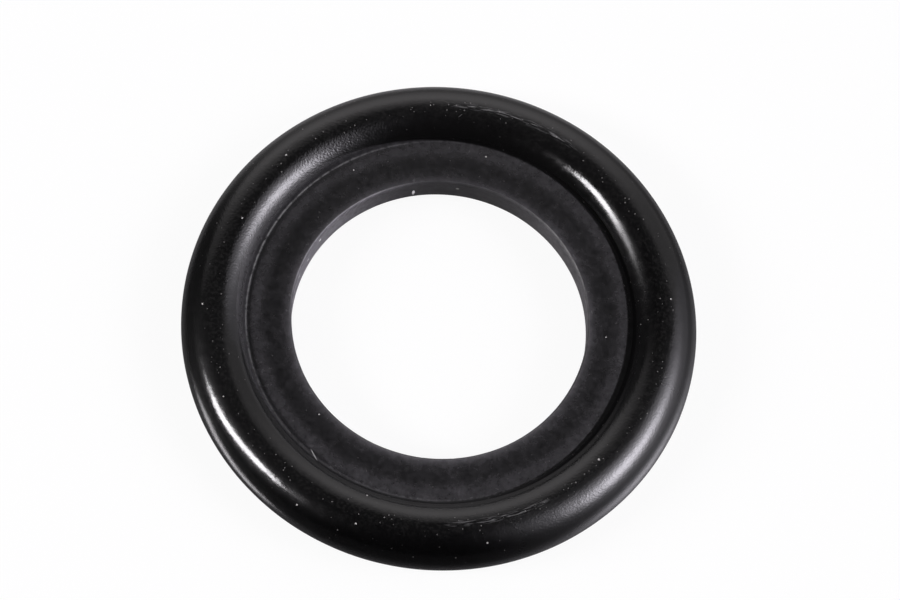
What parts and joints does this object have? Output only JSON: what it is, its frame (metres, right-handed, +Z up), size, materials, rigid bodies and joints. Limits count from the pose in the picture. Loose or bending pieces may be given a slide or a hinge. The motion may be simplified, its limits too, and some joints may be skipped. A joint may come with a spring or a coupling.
{
  "type": "drain plug washer",
  "caption": "Moulded black rubber sealing washer: a round bead around a thin flat web with a plain hole, squeezed under the head of a drain plug to seal it.",
  "frame": {"origin": "on the axis of the hole, at the surface that the washer lies on", "axes": "+Z up along the axis of the hole; the ring is round, so +X and +Y are any two directions across it"},
  "size_m": [0.022, 0.022, 0.0028],
  "materials": {
    "black_rubber": "moulded, semi-gloss on the bead and matte on the web"
  },
  "bodies": {
    "root": {"drain_plug_washer": "black_rubber"}
  },
  "joints": []
}
